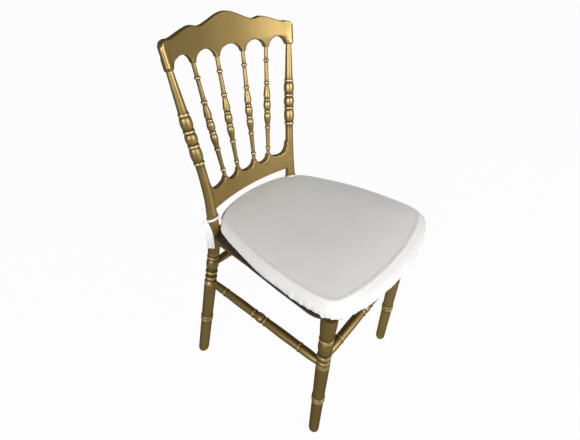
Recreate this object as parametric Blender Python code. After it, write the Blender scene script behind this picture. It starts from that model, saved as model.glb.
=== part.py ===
"""Versailles dining chair: turned frame, scalloped back rails, cushion tied to the back posts.

Units are metres, +Z is up and the chair faces -Y. Left is the side at -X, on the left hand of
someone who looks at the chair's front. The right half is described, and the left mirrors it.
"""
import math

import bmesh
import bpy
from mathutils import Vector

# Fits
GAP = 0.0003                # clearance between pieces that touch
TENON_DEPTH = 0.010         # how far a tenon enters its mortise
PLAY = 0.0006               # room left at the bottom of a mortise
SHOULDER_ROOM = 0.0016      # a square shoulder stands off a round leg
LEAN_ROOM = 0.0010          # more of it, where the leg leans
STEP = 0.0002               # length of a square step on a turned profile
SMALL_BEAD = 0.0060         # beads of less than this half width are plain ridges
ROD_SIDES = 8               # facets of tenons, mortises and bolt holes

# Main sizes, from which the pieces take their places
SEAT_WIDTH = 0.3800         # of the panel, behind the front legs
SEAT_DEPTH = 0.4000         # about the distance of the legs, front to rear
SEAT_RAIL_TOP_Z = 0.4230
BACK_HEIGHT = 0.4010        # seat rails to the posts' heads

# Back posts: centre line of the right post, from the floor to the crest
POST_KNEE_DROP = 0.0630     # knee below the top of the seat rails
POST_NECK_SHARE = 0.5005    # height of the neck, as a share of the back's height
POST_FOOT = Vector((0.5697 * SEAT_WIDTH, 0.5025 * SEAT_DEPTH, 0.0))
POST_KNEE = Vector((0.4211 * SEAT_WIDTH, 0.4275 * SEAT_DEPTH, SEAT_RAIL_TOP_Z - POST_KNEE_DROP))
POST_NECK = Vector((
    0.4189 * SEAT_WIDTH, 0.4590 * SEAT_DEPTH, SEAT_RAIL_TOP_Z + POST_NECK_SHARE * BACK_HEIGHT))
POST_HEAD = Vector((0.4805 * SEAT_WIDTH, 0.5230 * SEAT_DEPTH, SEAT_RAIL_TOP_Z + BACK_HEIGHT))
POST_FOOT_RADIUS = 0.0150
POST_SHIN_RADIUS = 0.0165
POST_SEAT_RADIUS = 0.0160
POST_BACK_RADIUS = 0.0105
POST_TOP_RADIUS = 0.0072
POST_TENON_RADIUS = 0.0048
POST_TENON_LENGTH = 0.022
POST_SIDES = 12

# Front legs: centre line of the right leg, from the floor to the seat rails
LEG_FOOT = Vector((0.4637 * SEAT_WIDTH, -0.4565 * SEAT_DEPTH, 0.0))
LEG_TOP = Vector((0.4474 * SEAT_WIDTH, -0.4725 * SEAT_DEPTH, SEAT_RAIL_TOP_Z))
LEG_FOOT_RADIUS = 0.0126
LEG_SHIN_RADIUS = 0.0152
LEG_TOP_RADIUS = 0.0170
LEG_SIDES = 12

# Foot glides
GLIDE_RADIUS = 0.0090
GLIDE_THICKNESS = 0.0040
GLIDE_PIN_RADIUS = 0.0020
GLIDE_PIN_LENGTH = 0.0120

# Back: bow of the rails and spindles behind the straight line from post to post
BACK_BOW = 0.0246

# Crest rail
CREST_THICKNESS = 0.0130
CREST_DROP_RISE = 0.0018    # points that hold the spindles end this far above the posts' heads
CREST_DROP_WIDTH = 0.0120
CREST_ARCH_RISE = 0.0217
CREST_CROWN_RISE = 0.0887   # rises of the waved top, above the points' ends
CREST_INNER_DIP_X = 0.2026 * SEAT_WIDTH
CREST_INNER_DIP_RISE = 0.0674
CREST_HUMP_X = 0.2789 * SEAT_WIDTH
CREST_HUMP_RISE = 0.0704
CREST_OUTER_DIP_X = 0.4368 * SEAT_WIDTH
CREST_OUTER_DIP_RISE = 0.0542
CREST_SHOULDER_RISE = 0.0548
CREST_CORNER_RADIUS = 0.0140
CREST_END_LENGTH = 0.0149   # past the centre of a post's head
CREST_END_LOW_RISE = 0.0160
SLEEVE_RADIUS = 0.0098
SLEEVE_LENGTH = 0.0460
SLEEVE_SIDES = 16

# Lower back rail
RAIL_THICKNESS = 0.0150
RAIL_ABOVE_SEAT = 0.0720    # bottom of the rail above the top of the seat rails
RAIL_HEIGHT = 0.0595        # to the tops of the points that hold the spindles
RAIL_PEAK_WIDTH = 0.0100
RAIL_SCALLOP_DEPTH = 0.0160
RAIL_END_SCALLOP_DEPTH = 0.0128
RAIL_END_FILLET = 0.0250
RAIL_TENON_RADIUS = 0.0050
RAIL_TENON_RISE = 0.0240

# Spindles: distance of the outer and inner pairs from the middle, at foot and head
SPINDLE_FOOT_X = (0.2126 * SEAT_WIDTH, 0.0795 * SEAT_WIDTH)
SPINDLE_HEAD_X = (0.2968 * SEAT_WIDTH, 0.1058 * SEAT_WIDTH)
SPINDLE_NECK_RADIUS = 0.0050
SPINDLE_BALL_RADIUS = 0.0096
SPINDLE_TENON_RADIUS = 0.0038
SPINDLE_SHOULDER = 0.0014   # the shoulder stands off, because the spindle leans
SPINDLE_SIDES = 8

# Stretchers
STRETCHER_RADIUS = 0.0110
STRETCHER_END_RADIUS = 0.0092
STRETCHER_TENON_RADIUS = 0.0060
STRETCHER_SIDES = 8
SIDE_STRETCHER_Z = 0.6418 * SEAT_RAIL_TOP_Z
FRONT_STRETCHER_Z = 0.6998 * SEAT_RAIL_TOP_Z
REAR_STRETCHER_Z = 0.7801 * SEAT_RAIL_TOP_Z

# Seat frame
SEAT_RAIL_HEIGHT = 0.0150
SEAT_RAIL_WIDTH = 0.0160
SEAT_RAIL_TENON_RADIUS = 0.0050
FRONT_RAIL_BOW = 0.0280
REAR_RAIL_BOW = 0.0246
PANEL_THICKNESS = 0.0064
PANEL_FRONT_OVERHANG = 0.0210   # panel past the middle line of the front rail
PANEL_REAR_OVERHANG = 0.0100
PANEL_SIDE_BOW = 0.0040
PANEL_POST_LAP = 0.0080         # panel's side past the middle of a post
PANEL_HALF_WIDTH = 0.5066 * SEAT_WIDTH
PANEL_SIDE_Y = -0.3875 * SEAT_DEPTH
PANEL_CORNER_RADIUS = 0.0550
NOTCH_SIDES = 24

# Corner blocks, bolts and panel screws
BLOCK_NEAR = 0.0270         # distance of a block's short side from the corner, along the rails
BLOCK_FAR = 0.0600
BLOCK_HEIGHT = 0.0135
BOLT_RADIUS = 0.0030
BOLT_GRIP_IN_LEG = 0.0080
BOLT_HEAD_RADIUS = 0.0060
BOLT_HEAD_HEIGHT = 0.0040
SCREW_RADIUS = 0.0020
SCREW_HEAD_RADIUS = 0.0042
SCREW_HEAD_HEIGHT = 0.0025
SCREW_GRIP_IN_PANEL = 0.0040
SCREW_OFFSET = 0.0110       # from the block's middle, clear of the bolt
FASTENER_SIDES = 10

# Cushion: half outline at its widest level, front to back, in seat widths and depths, and its section
CUSHION_SHARES = (
    (0.0000, -0.6300), (0.2500, -0.6120), (0.4330, -0.5690), (0.5290, -0.5140),
    (0.5600, -0.4125), (0.5600, -0.2500), (0.5480, -0.0750), (0.5090, 0.1125), (0.4530, 0.3000),
    (0.4050, 0.3875), (0.3090, 0.4575), (0.1500, 0.5010), (0.0000, 0.5137),
)
CUSHION_OUTLINE = [(x * SEAT_WIDTH, y * SEAT_DEPTH) for x, y in CUSHION_SHARES]
CUSHION_SHIFT = 0.0185      # the loose cushion lies a little to the right, less at its tied rear
CUSHION_REAR_SHIFT = 0.0085
CUSHION_THICKNESS = 0.0400  # at the edge, seam to seam
CUSHION_CROWN = 0.0070      # rise of the middle above the edge
CUSHION_DRAW_IN = 0.0080    # how far the sides are drawn in below
CUSHION_ROUND = 0.0240      # how far the top rolls over to the front, half of it elsewhere
CUSHION_POST_ROOM = 0.0062  # room for a tie between the cushion and a post

# Cushion ties: ribbon knotted round each post
TIE_RISE = 0.0410           # band above the cushion's underside
TIE_BAND_WIDTH = 0.0070
TIE_BAND_THICKNESS = 0.0020
TIE_KNOT_RADIUS = 0.0065
TIE_TAIL_LENGTH = 0.0740
TIE_TAIL_WIDTH = 0.0170
TIE_TAIL_ROOM = 0.0034      # tail's middle to the post
TIE_KNOT_TURN = math.radians(16)    # from straight out to the side, towards the rear
TIE_TAIL_TURN = math.radians(-28)
TIE_LEAD_ROOM = 0.0008      # end of the lead to the cushion's side
TIE_END_LENGTH = 0.0330
TIE_END_WIDTH = 0.0070

SIDES = ((-1, "left"), (1, "right"))

for old in list(bpy.data.objects):
    bpy.data.objects.remove(old)


def make_material(name, colour, roughness, metallic):
    """A plain Principled finish."""
    finish = bpy.data.materials.new(name)
    finish.use_nodes = True
    shader = finish.node_tree.nodes["Principled BSDF"]
    shader.inputs["Base Color"].default_value = (*colour, 1.0)
    shader.inputs["Roughness"].default_value = roughness
    shader.inputs["Metallic"].default_value = metallic
    return finish


GOLD = make_material("gold_paint", (0.40, 0.29, 0.11), 0.38, 0.75)
PLY = make_material("plywood", (0.42, 0.30, 0.17), 0.70, 0.0)
WOOD = make_material("bare_wood", (0.50, 0.36, 0.20), 0.70, 0.0)
STEEL = make_material("zinc_steel", (0.60, 0.60, 0.58), 0.35, 1.0)
NYLON = make_material("nylon", (0.05, 0.05, 0.05), 0.55, 0.0)
CLOTH = make_material("white_cloth", (0.82, 0.81, 0.79), 0.90, 0.0)


def add_object(name, shape, finish):
    """Puts a finished bmesh into the scene as a named object."""
    bmesh.ops.recalc_face_normals(shape, faces=shape.faces)
    mesh = bpy.data.meshes.new(name)
    shape.to_mesh(mesh)
    shape.free()
    mesh.shade_smooth()
    mesh.set_sharp_from_angle(angle=math.radians(40))
    mesh.materials.append(finish)
    piece = bpy.data.objects.new(name, mesh)
    bpy.context.scene.collection.objects.link(piece)
    return piece


def combine(piece, tool, operation):
    """Cuts a tool out of a piece, or joins it on, and hides the tool."""
    step = piece.modifiers.new(tool.name, "BOOLEAN")
    step.operation = operation
    step.solver = "EXACT"
    step.object = tool
    tool.hide_render = True
    tool.display_type = "WIRE"


def cut(piece, tool):
    combine(piece, tool, "DIFFERENCE")


def join(piece, tool):
    combine(piece, tool, "UNION")


def mirrored(point, side):
    """A point of the right half, taken to the named side."""
    return Vector((side * point.x, point.y, point.z))


def loft(rings):
    """A closed solid through rings of points, each ring with as many points as the next."""
    shape = bmesh.new()
    loops = [[shape.verts.new(point) for point in ring] for ring in rings]
    count = len(loops[0])
    for lower, upper in zip(loops, loops[1:]):
        for i in range(count):
            j = (i + 1) % count
            shape.faces.new((lower[i], lower[j], upper[j], upper[i]))
    shape.faces.new(loops[0][::-1])
    shape.faces.new(loops[-1])
    return shape


def turned(name, centre, profile, sides, finish):
    """A turned piece: a profile of (place, radius) swept along the line that centre gives."""
    rings = []
    for place, radius in profile:
        along = (centre(place + 0.001) - centre(place - 0.001)).normalized()
        guide = Vector((0, 1, 0)) if abs(along.y) < 0.7 else Vector((1, 0, 0))
        across = guide.cross(along).normalized()
        up = along.cross(across)
        turns = [2 * math.pi * i / sides for i in range(sides)]
        rings.append([
            centre(place) + radius * (math.cos(a) * across + math.sin(a) * up) for a in turns
        ])
    return add_object(name, loft(rings), finish)


def straight(start, end):
    """A straight centre line, told by the distance from its start."""
    along = (end - start).normalized()
    return lambda place: start + along * place


def rod(name, start, end, radius, finish, sides=ROD_SIDES):
    """A plain round bar between two points."""
    length = (end - start).length
    return turned(name, straight(start, end), [(0, radius), (length, radius)], sides, finish)


def bead(centre, half, radius, neck):
    """A ring or bulb on a turned profile, between two necks."""
    steps = (-1.0, 0.0, 1.0) if half < SMALL_BEAD else (-1.0, -0.62, 0.0, 0.62, 1.0)
    return [(centre + half * s, neck + (radius - neck) * math.sqrt(1 - s * s)) for s in steps]


def widest(profile, low, high):
    """Largest radius of a profile between two places."""
    inside = [radius for place, radius in profile if low <= place <= high]
    ends = []
    for at in (low, high):
        for (a, ra), (b, rb) in zip(profile, profile[1:]):
            if a <= at <= b and b > a:
                ends.append(ra + (rb - ra) * (at - a) / (b - a))
    return max(inside + ends)


def curve_through(points, at):
    """Smooth height at a place, through points that lie in order."""
    slopes = [0.0] * len(points)
    for i in range(1, len(points) - 1):
        rise = points[i + 1][1] - points[i - 1][1]
        slopes[i] = rise / (points[i + 1][0] - points[i - 1][0])
    last = len(points) - 2
    i = max(k for k in range(last + 1) if k == 0 or points[k][0] <= at)
    (x0, y0), (x1, y1) = points[i], points[i + 1]
    return hermite(y0, slopes[i], y1, slopes[i + 1], x1 - x0, (at - x0) / (x1 - x0))


def hermite(start, start_slope, end, end_slope, span, t):
    """Cubic between two values with given slopes."""
    blend = t * t * (3 - 2 * t)
    return (start * (1 - blend) + end * blend
            + start_slope * span * t * (1 - t) ** 2 - end_slope * span * t * t * (1 - t))


# Back posts

LEG_SLOPE = (POST_KNEE - POST_FOOT) / (POST_KNEE.z - POST_FOOT.z)
BACK_SLOPE = (POST_HEAD - POST_NECK) / (POST_HEAD.z - POST_NECK.z)


def post_centre(z):
    """Centre of the right post at a height: straight leg, bend at the seat, straight back."""
    if z <= POST_KNEE.z:
        return POST_FOOT + LEG_SLOPE * z
    if z >= POST_NECK.z:
        return POST_NECK + BACK_SLOPE * (z - POST_NECK.z)
    span = POST_NECK.z - POST_KNEE.z
    t = (z - POST_KNEE.z) / span
    return hermite(POST_KNEE, LEG_SLOPE, POST_NECK, BACK_SLOPE, span, t)


def post_profile():
    """Turned profile of a post, foot to tenon: leg turning, plain seat part, back turning."""
    knee = POST_KNEE.z
    neck = POST_NECK.z
    head = POST_HEAD.z
    shin = POST_SHIN_RADIUS
    back = POST_BACK_RADIUS
    foot = GLIDE_THICKNESS
    profile = [(0, POST_FOOT_RADIUS - 0.0035), (foot + 0.004, POST_FOOT_RADIUS - 0.0008)]
    profile += [(foot + 0.012, POST_FOOT_RADIUS)]
    profile += bead(knee - 0.2255, 0.0040, shin + 0.0006, shin - 0.0008)
    profile += bead(knee - 0.2155, 0.0040, shin + 0.0006, shin - 0.0008)
    profile += [(knee - 0.0850, shin + 0.0002), (knee - 0.0800, shin - 0.0025)]
    profile += bead(knee - 0.0714, 0.0045, shin - 0.0005, shin - 0.0030)
    profile += bead(knee - 0.0531, 0.0050, shin - 0.0005, shin - 0.0030)
    profile += bead(knee - 0.0275, 0.0160, shin - 0.0003, shin - 0.0038)
    profile += bead(knee - 0.0048, 0.0045, shin - 0.0007, shin - 0.0028)
    profile += [(knee + 0.003, shin - 0.0015), (SEAT_RAIL_TOP_Z - 0.020, POST_SEAT_RADIUS)]
    profile += [(SEAT_RAIL_TOP_Z, POST_SEAT_RADIUS), (SEAT_RAIL_TOP_Z + 0.045, back + 0.0035)]
    profile += [(SEAT_RAIL_TOP_Z + 0.100, back + 0.0012), (neck - 0.0080, back)]
    profile += bead(neck, 0.0042, back + 0.0024, back)
    profile += bead(neck + 0.0212, 0.0160, back + 0.0032, back)
    profile += bead(neck + 0.0415, 0.0045, back + 0.0028, back)
    profile += bead(neck + 0.0582, 0.0118, back + 0.0032, back)
    profile += bead(neck + 0.0749, 0.0042, back + 0.0026, back)
    profile += bead(neck + 0.0934, 0.0138, back + 0.0029, back)
    profile += bead(neck + 0.1121, 0.0042, back + 0.0017, back)
    profile += [(neck + 0.1220, back - 0.0003), (head - GAP, POST_TOP_RADIUS)]
    profile += [(head - GAP + STEP, POST_TENON_RADIUS)]
    profile += [(head + POST_TENON_LENGTH, POST_TENON_RADIUS)]
    return profile


POST_PROFILE = post_profile()


def post_point(side, z):
    return mirrored(post_centre(z), side)


def make_post(side, word):
    """Rear leg and back upright in one turned, bent piece."""
    return turned(f"back_post_{word}", lambda z: post_point(side, z), POST_PROFILE, POST_SIDES, GOLD)


# Front legs

def leg_centre(z):
    return LEG_FOOT.lerp(LEG_TOP, z / LEG_TOP.z)


def leg_profile():
    """Turned profile of a front leg, foot to top."""
    top = LEG_TOP.z
    shin = LEG_SHIN_RADIUS
    foot = GLIDE_THICKNESS
    low = top - 0.2772
    ring = LEG_FOOT_RADIUS + (shin - LEG_FOOT_RADIUS) * low / (top - 0.145)
    profile = [(0, LEG_FOOT_RADIUS - 0.0030), (foot + 0.004, LEG_FOOT_RADIUS - 0.0008)]
    profile += [(foot + 0.012, LEG_FOOT_RADIUS)]
    profile += bead(low - 0.0050, 0.0040, ring + 0.0012, ring - 0.0002)
    profile += bead(low + 0.0050, 0.0040, ring + 0.0012, ring - 0.0002)
    profile += [(top - 0.1450, shin), (top - 0.1400, shin - 0.0022)]
    profile += bead(top - 0.1336, 0.0045, shin - 0.0004, shin - 0.0028)
    profile += bead(top - 0.1177, 0.0050, shin - 0.0002, shin - 0.0028)
    profile += bead(top - 0.0890, 0.0180, shin + 0.0003, shin - 0.0030)
    profile += bead(top - 0.0653, 0.0045, shin + 0.0003, shin - 0.0016)
    profile += [(top - 0.0570, shin - 0.0004), (top - 0.0200, LEG_TOP_RADIUS)]
    profile += [(top + 0.003, LEG_TOP_RADIUS)]
    return profile


LEG_PROFILE = leg_profile()


def leg_point(side, z):
    return mirrored(leg_centre(z), side)


def trim(piece, point, height):
    """Cuts a leaning leg's end level: all that lies past a point, up or down."""
    name = f"trim_{piece.name}_{len(piece.modifiers)}"
    cut(piece, rod(name, point, point + Vector((0, 0, height)), 2 * LEG_TOP_RADIUS, GOLD))


def make_leg(side, word):
    """Turned front leg, level on top with the seat rails."""
    line = lambda z: leg_point(side, z)
    leg = turned(f"front_leg_{word}", line, LEG_PROFILE, LEG_SIDES, GOLD)
    trim(leg, leg_point(side, LEG_TOP.z), 0.02)
    return leg


def bore(piece, start, end, radius):
    """A hole for a round bar of the given radius, clear of it on the hole's flats too."""
    wide = (radius + GAP) / math.cos(math.pi / ROD_SIDES)
    cut(piece, rod(f"bore_{piece.name}_{len(piece.modifiers)}", start, end, wide, GOLD))


def mortise(piece, mouth, along, radius, depth):
    """A blind round hole that starts outside the piece and ends at the given depth past a mouth."""
    bore(piece, mouth - along * 0.030, mouth + along * (depth + PLAY), radius)


# Feet

def make_glide(name, piece, foot):
    """Nylon glide, flat on the floor, with a pin that is pressed up into the foot."""
    top = GLIDE_THICKNESS
    profile = [(0, GLIDE_RADIUS - 0.001), (0.001, GLIDE_RADIUS), (top, GLIDE_RADIUS)]
    profile += [(top + STEP / 2, GLIDE_PIN_RADIUS), (top + GLIDE_PIN_LENGTH, GLIDE_PIN_RADIUS)]
    base = Vector((foot.x, foot.y, 0))
    turned(name, lambda z: base + Vector((0, 0, z)), profile, 12, NYLON)
    mouth = base + Vector((0, 0, top + GAP))
    trim(piece, mouth, -0.02)
    mortise(piece, mouth, Vector((0, 0, 1)), GLIDE_PIN_RADIUS, GLIDE_PIN_LENGTH)


# Back

def back_y(x, z):
    """Middle surface of the back: raked, bowed, and running out on the posts' centre lines."""
    edge = post_centre(z)
    middle = POST_NECK.y + BACK_SLOPE.y * (z - POST_NECK.z) + BACK_BOW
    return middle - (middle - edge.y) * (x / edge.x) ** 2


def board(name, stations, thickness, finish):
    """A board on the back's surface, told by (x, lower height, upper height) stations."""
    half = thickness / 2
    rings = []
    for x, low, high in stations:
        rings.append([
            Vector((x, back_y(x, low) - half, low)), Vector((x, back_y(x, low) + half, low)),
            Vector((x, back_y(x, high) + half, high)), Vector((x, back_y(x, high) - half, high)),
        ])
    return add_object(name, loft(rings), finish)


def bay_stations(start, end, steps):
    """Places across a round bay, closer together at its steep ends."""
    middle = (start + end) / 2
    half = (end - start) / 2
    return [middle - half * math.cos(math.pi * i / steps) for i in range(steps + 1)]


def round_bay(x, start, end):
    """Height of a half ellipse of unit rise, over a bay."""
    middle = (start + end) / 2
    half = (end - start) / 2
    return math.sqrt(max(0.0, 1 - ((x - middle) / half) ** 2))


CREST_DROP_Z = POST_HEAD.z + CREST_DROP_RISE
CREST_END_X = POST_HEAD.x + CREST_END_LENGTH


def crest_top(x):
    """Waved top edge: crown, dip, hump, dip and a round corner."""
    corner = CREST_END_X - CREST_CORNER_RADIUS
    wave = (
        (0.0, CREST_CROWN_RISE), (CREST_INNER_DIP_X, CREST_INNER_DIP_RISE),
        (CREST_HUMP_X, CREST_HUMP_RISE), (CREST_OUTER_DIP_X, CREST_OUTER_DIP_RISE),
        (corner, CREST_SHOULDER_RISE),
    )
    if abs(x) <= corner:
        return CREST_DROP_Z + curve_through(wave, abs(x))
    drop = CREST_CORNER_RADIUS - math.sqrt(CREST_CORNER_RADIUS ** 2 - (abs(x) - corner) ** 2)
    return CREST_DROP_Z + CREST_SHOULDER_RISE - drop


def make_crest():
    """Crest rail: waved board with five arches, and a sleeve over the tenon of each post."""
    half = CREST_DROP_WIDTH / 2
    inner_end = POST_HEAD.x - SLEEVE_RADIUS
    heads = [-SPINDLE_HEAD_X[0], -SPINDLE_HEAD_X[1], SPINDLE_HEAD_X[1], SPINDLE_HEAD_X[0]]
    edges = [-inner_end] + [x + s * half for x in heads for s in (-1, 1)] + [inner_end]
    end_low = CREST_DROP_Z + CREST_END_LOW_RISE
    corner = [CREST_END_X - CREST_CORNER_RADIUS * share for share in (0.06, 0.29, 0.64)]
    left = [(-x, end_low, crest_top(x)) for x in corner]
    stations = list(left)
    for start, end in zip(edges[::2], edges[1::2]):
        for x in bay_stations(start, end, 10):
            low = CREST_DROP_Z + CREST_ARCH_RISE * round_bay(x, start, end)
            stations.append((x, low, crest_top(x)))
    stations += [(-x, low, high) for x, low, high in reversed(left)]
    crest = board("crest_rail", stations, CREST_THICKNESS, GOLD)
    top = POST_HEAD.z + SLEEVE_LENGTH
    radius = SLEEVE_RADIUS
    sleeve = [(POST_HEAD.z, 0.92 * radius), (POST_HEAD.z + 0.3 * radius, radius)]
    sleeve += [(top - radius, radius), (top - 0.4 * radius, 0.8 * radius), (top, 0.35 * radius)]
    for side, word in SIDES:
        line = lambda z, side=side: post_point(side, z)
        join(crest, turned(f"sleeve_{word}", line, sleeve, SLEEVE_SIDES, GOLD))
    for side, word in SIDES:
        along = mirrored(BACK_SLOPE.normalized(), side)
        mortise(crest, post_point(side, POST_HEAD.z), along, POST_TENON_RADIUS, POST_TENON_LENGTH)
    return crest


# Lower back rail

RAIL_BOTTOM_Z = SEAT_RAIL_TOP_Z + RAIL_ABOVE_SEAT
RAIL_PEAK_Z = RAIL_BOTTOM_Z + RAIL_HEIGHT


def rail_end_x():
    """Where the lower rail's ends stop, on the posts' centre lines."""
    return post_centre((RAIL_BOTTOM_Z + RAIL_PEAK_Z) / 2).x


def make_lower_rail(posts):
    """Lower back rail: scalloped board, coped to the posts and tenoned into them."""
    half = RAIL_PEAK_WIDTH / 2
    feet = [-SPINDLE_FOOT_X[0], -SPINDLE_FOOT_X[1], SPINDLE_FOOT_X[1], SPINDLE_FOOT_X[0]]
    edges = [x + s * half for x in feet for s in (-1, 1)]
    end = rail_end_x()
    wall = end - POST_BACK_RADIUS
    low_x = wall - RAIL_END_FILLET
    low_z = RAIL_PEAK_Z - RAIL_END_SCALLOP_DEPTH
    run = low_x - edges[-1]
    outer = [(end, RAIL_BOTTOM_Z, low_z + RAIL_END_FILLET)]
    for i in range(5, 0, -1):
        turn = math.pi / 2 * i / 5
        high = low_z + RAIL_END_FILLET * (1 - math.cos(turn))
        outer.append((low_x + RAIL_END_FILLET * math.sin(turn), RAIL_BOTTOM_Z, high))
    for i in range(6):
        turn = math.pi / 2 * i / 5
        high = low_z + RAIL_END_SCALLOP_DEPTH * (1 - math.cos(turn))
        outer.append((low_x - run * math.sin(turn), RAIL_BOTTOM_Z, high))
    stations = [(-x, low, high) for x, low, high in outer]
    for start, stop in zip(edges[1::2], edges[2::2]):
        for x in bay_stations(start, stop, 8):
            dip = RAIL_SCALLOP_DEPTH * round_bay(x, start, stop)
            stations.append((x, RAIL_BOTTOM_Z, RAIL_PEAK_Z - dip))
    stations += outer[::-1]
    rail = board("lower_back_rail", stations, RAIL_THICKNESS, GOLD)
    tenon_z = RAIL_BOTTOM_Z + RAIL_TENON_RISE
    for side, word in SIDES:
        clear = [(z, radius + GAP) for z, radius in POST_PROFILE if z > SEAT_RAIL_TOP_Z]
        line = lambda z, side=side: post_point(side, z)
        cut(rail, turned(f"cope_{word}", line, clear, POST_SIDES, GOLD))
    for side, word in SIDES:
        centre = post_point(side, tenon_z)
        reach = widest(POST_PROFILE, tenon_z - RAIL_TENON_RADIUS, tenon_z + RAIL_TENON_RADIUS)
        root_x = centre.x - side * (reach + TENON_DEPTH)
        root = Vector((root_x, back_y(root_x, tenon_z), tenon_z))
        tip_x = centre.x - side * (reach - TENON_DEPTH)
        tip = Vector((tip_x, back_y(tip_x, tenon_z), tenon_z))
        along = tip - root
        join(rail, rod(f"rail_tenon_{word}", root, tip, RAIL_TENON_RADIUS, GOLD))
        mortise(posts[side], tip, along.normalized(), RAIL_TENON_RADIUS, 0)
    return rail


def spindle_profile(length):
    """Turned profile of a spindle between its shoulders, with a tenon at each end."""
    neck = SPINDLE_NECK_RADIUS
    ball = SPINDLE_BALL_RADIUS
    tenon = SPINDLE_TENON_RADIUS
    ring = 0.0032
    profile = [(-TENON_DEPTH, tenon), (SPINDLE_SHOULDER - STEP, tenon), (SPINDLE_SHOULDER, neck)]
    profile += bead(0.065 * length, ring, neck + 0.0018, neck)
    profile += [(0.225 * length, neck + 0.0008)]
    profile += bead(0.266 * length, ring, neck + 0.0027, neck + 0.0010)
    profile += [(0.300 * length, neck + 0.0013), (0.340 * length, neck + 0.0032)]
    profile += [(0.380 * length, ball - 0.0004), (0.400 * length, ball - 0.0014)]
    profile += bead(0.423 * length, ring, ball - 0.0012, neck + 0.0018)
    profile += bead(0.482 * length, 0.0110, ball, neck + 0.0018)
    profile += bead(0.532 * length, ring, ball - 0.0012, neck + 0.0018)
    profile += [(0.556 * length, ball - 0.0012), (0.576 * length, ball - 0.0006)]
    profile += [(0.620 * length, neck + 0.0026), (0.668 * length, neck + 0.0006)]
    profile += bead(0.690 * length, ring, neck + 0.0026, neck + 0.0005)
    profile += [(0.850 * length, neck - 0.0002)]
    profile += bead(0.886 * length, ring, neck + 0.0022, neck - 0.0002)
    profile += [(length - SPINDLE_SHOULDER, neck - 0.0002)]
    profile += [(length - SPINDLE_SHOULDER + STEP, tenon), (length + TENON_DEPTH, tenon)]
    return profile


def make_spindles(crest, rail):
    """Four spindles, fanned out between the lower rail and the crest."""
    places = [(-1, 0), (-1, 1), (1, 1), (1, 0)]
    for number, (side, pair) in enumerate(places, start=1):
        foot_x = side * SPINDLE_FOOT_X[pair]
        head_x = side * SPINDLE_HEAD_X[pair]
        foot = Vector((foot_x, back_y(foot_x, RAIL_PEAK_Z), RAIL_PEAK_Z))
        head = Vector((head_x, back_y(head_x, CREST_DROP_Z), CREST_DROP_Z))
        along = (head - foot).normalized()
        profile = spindle_profile((head - foot).length)
        turned(f"back_spindle_{number}", straight(foot, head), profile, SPINDLE_SIDES, GOLD)
        mortise(crest, head, along, SPINDLE_TENON_RADIUS, TENON_DEPTH)
        mortise(rail, foot, -along, SPINDLE_TENON_RADIUS, TENON_DEPTH)


# Stretchers

def make_stretcher(name, starts, ends):
    """Turned stretcher between two legs: each end gives its leg, line, profile and height."""
    (start_leg, start_line, start_profile, z), (end_leg, end_line, end_profile, _) = starts, ends
    start = start_line(z)
    end = end_line(z)
    along = (end - start).normalized()
    length = (end - start).length
    low = z - STRETCHER_RADIUS
    high = z + STRETCHER_RADIUS
    near = widest(start_profile, low, high) + SHOULDER_ROOM
    far = length - widest(end_profile, low, high) - SHOULDER_ROOM
    middle = (near + far) / 2
    span = far - near
    body = STRETCHER_RADIUS
    tenon = STRETCHER_TENON_RADIUS
    profile = [(near - TENON_DEPTH, tenon), (near, tenon), (near + STEP, STRETCHER_END_RADIUS)]
    profile += [(near + 0.10 * span, body - 0.0005)]
    profile += bead(middle - 0.36 * span, 0.0030, body + 0.0008, body - 0.0006)
    profile += [(middle - 0.20 * span, body)]
    profile += bead(middle - 0.055 * span, 0.0030, body + 0.0008, body - 0.0006)
    profile += bead(middle, 0.0100, body + 0.0006, body - 0.0014)
    profile += bead(middle + 0.055 * span, 0.0030, body + 0.0008, body - 0.0006)
    profile += [(middle + 0.20 * span, body)]
    profile += bead(middle + 0.36 * span, 0.0030, body + 0.0008, body - 0.0006)
    profile += [(far - 0.10 * span, body - 0.0005)]
    profile += [(far - STEP, STRETCHER_END_RADIUS), (far, tenon), (far + TENON_DEPTH, tenon)]
    turned(name, straight(start, end), profile, STRETCHER_SIDES, GOLD)
    mortise(start_leg, start + along * (near - TENON_DEPTH), -along, tenon, 0)
    mortise(end_leg, start + along * (far + TENON_DEPTH), along, tenon, 0)


def make_stretchers(posts, legs):
    """Two side stretchers, a front one above them and a rear one above that."""
    def post_end(side, z):
        return posts[side], lambda at: post_point(side, at), POST_PROFILE, z

    def leg_end(side, z):
        return legs[side], lambda at: leg_point(side, at), LEG_PROFILE, z

    for side, word in SIDES:
        z = SIDE_STRETCHER_Z
        make_stretcher(f"stretcher_{word}", leg_end(side, z), post_end(side, z))
    z = FRONT_STRETCHER_Z
    make_stretcher("stretcher_front", leg_end(-1, z), leg_end(1, z))
    z = REAR_STRETCHER_Z
    make_stretcher("stretcher_rear", post_end(-1, z), post_end(1, z))


# Seat frame

RAIL_MIDDLE_Z = SEAT_RAIL_TOP_Z - SEAT_RAIL_HEIGHT / 2
LEG_CORNER = leg_centre(RAIL_MIDDLE_Z)
POST_CORNER = post_centre(RAIL_MIDDLE_Z)


def seat_radius(profile):
    """Radius that a rail has to stop short of, at the height of the seat rails."""
    return widest(profile, SEAT_RAIL_TOP_Z - SEAT_RAIL_HEIGHT, SEAT_RAIL_TOP_Z)


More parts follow.
